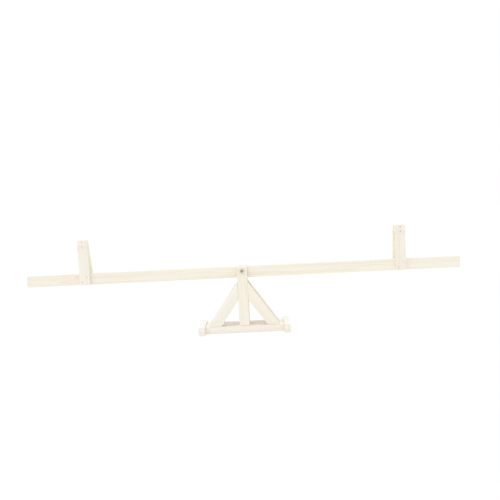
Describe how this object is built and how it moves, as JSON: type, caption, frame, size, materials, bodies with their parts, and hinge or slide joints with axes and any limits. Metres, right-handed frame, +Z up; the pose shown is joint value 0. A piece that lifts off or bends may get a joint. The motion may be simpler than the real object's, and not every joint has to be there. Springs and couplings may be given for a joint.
{
  "type": "seesaw",
  "caption": "Wooden garden seesaw: a long beam with a post handle near each end, turning on a bolt between two braced frames on a board with cross feet.",
  "frame": {"origin": "on the ground, midway between the two feet and straight under the pivot", "axes": "+X along the level beam, towards the right handle; -Y towards the viewer of the picture; +Z up"},
  "size_m": [3, 0.242, 0.687],
  "materials": {
    "beam_timber": "matt pale whitewashed softwood",
    "frame_timber": "matt pale whitewashed softwood",
    "board_timber": "matt pale whitewashed softwood, a shade lighter",
    "handle_timber": "matt pale whitewashed softwood, slightly rubbed at the grips",
    "dark_steel": "dark weathered steel",
    "zinc_steel": "dull zinc plate"
  },
  "bodies": {
    "stand": {"base_board": "board_timber", "left_foot": "frame_timber", "right_foot": "frame_timber", "front_upright": "frame_timber", "rear_upright": "frame_timber", "front_left_brace": "frame_timber", "front_right_brace": "frame_timber", "rear_left_brace": "frame_timber", "rear_right_brace": "frame_timber", "pivot_bolt": "dark_steel", "pivot_nut": "dark_steel", "bolt_washer": "zinc_steel", "nut_washer": "zinc_steel", "front_spacer": "zinc_steel", "rear_spacer": "zinc_steel", "front_upright_screw": "zinc_steel", "rear_upright_screw": "zinc_steel", "front_left_toe_screw": "zinc_steel", "front_right_toe_screw": "zinc_steel", "rear_left_toe_screw": "zinc_steel", "rear_right_toe_screw": "zinc_steel", "front_left_brace_screw": "zinc_steel", "front_right_brace_screw": "zinc_steel", "rear_left_brace_screw": "zinc_steel", "rear_right_brace_screw": "zinc_steel", "left_foot_screw_front": "zinc_steel", "left_foot_screw_rear": "zinc_steel", "right_foot_screw_front": "zinc_steel", "right_foot_screw_rear": "zinc_steel"},
    "seesaw_beam": {"beam": "beam_timber", "pivot_bush": "zinc_steel", "left_front_post": "handle_timber", "left_rear_post": "handle_timber", "left_grip": "handle_timber", "right_front_post": "handle_timber", "right_rear_post": "handle_timber", "right_grip": "handle_timber", "left_front_post_screw_left": "zinc_steel", "left_front_post_screw_right": "zinc_steel", "left_rear_post_screw_left": "zinc_steel", "left_rear_post_screw_right": "zinc_steel", "right_front_post_screw_left": "zinc_steel", "right_front_post_screw_right": "zinc_steel", "right_rear_post_screw_left": "zinc_steel", "right_rear_post_screw_right": "zinc_steel", "left_front_grip_screw_1": "zinc_steel", "left_front_grip_screw_2": "zinc_steel", "left_rear_grip_screw_1": "zinc_steel", "left_rear_grip_screw_2": "zinc_steel", "right_front_grip_screw_1": "dark_steel", "right_front_grip_screw_2": "dark_steel", "right_rear_grip_screw_1": "dark_steel", "right_rear_grip_screw_2": "dark_steel"}
  },
  "joints": [
    {"name": "beam_pivot", "type": "hinge", "parent": "stand", "child": "seesaw_beam", "pos_m": [0, 0, 0.427], "axis": [0, 1, 0], "range_deg": [-14.4, 14.4]}
  ]
}
